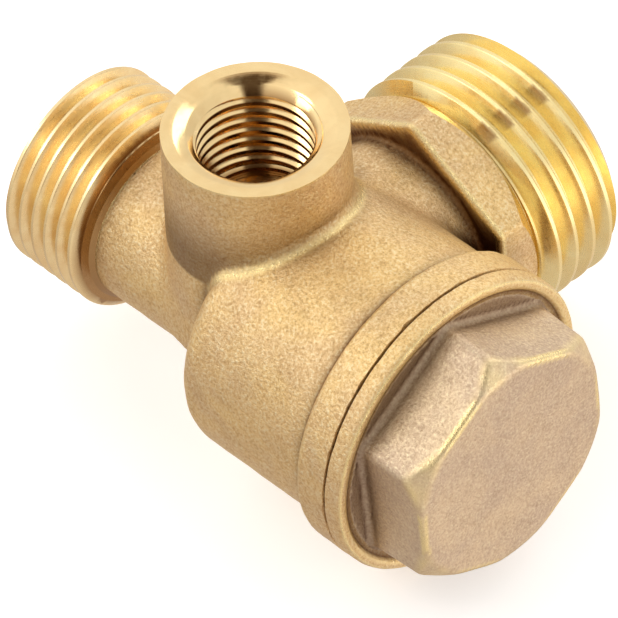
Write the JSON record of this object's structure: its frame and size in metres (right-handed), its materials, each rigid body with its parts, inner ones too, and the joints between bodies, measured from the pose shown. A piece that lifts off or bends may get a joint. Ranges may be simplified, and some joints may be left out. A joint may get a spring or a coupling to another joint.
{
  "type": "check valve",
  "caption": "Three-way brass check valve for an air compressor: two male pipe threads at a right angle, a small female side port and a hexagon plug over a sprung piston.",
  "frame": {"origin": "where the inlet axis, which is also the valve chamber's axis, meets the tank thread's axis; it lies inside the inlet passage", "axes": "-X out of the inlet thread and +X out of the plug, +Y out of the tank thread, +Z out of the unloader port"},
  "size_m": [0.0465, 0.0374, 0.0298],
  "materials": {
    "forged_brass": "blasted forging with turned threads",
    "plug_brass": "blasted forging",
    "turned_brass": "turned",
    "black_rubber": "matt",
    "spring_steel": "drawn wire"
  },
  "bodies": {
    "body": {"valve_body": "forged_brass", "hex_plug": "plug_brass", "plug_sealing_ring": "black_rubber"},
    "piston": {"valve_piston": "turned_brass", "rubber_seat_disc": "black_rubber", "return_spring": "spring_steel"}
  },
  "joints": [
    {"name": "piston_lift", "type": "slide", "parent": "body", "child": "piston", "axis": [1, 0, 0], "range_m": [0, 0.0032], "stiffness_N_per_m": 350, "springref_m": -0.002, "deforming": ["return_spring"]}
  ]
}
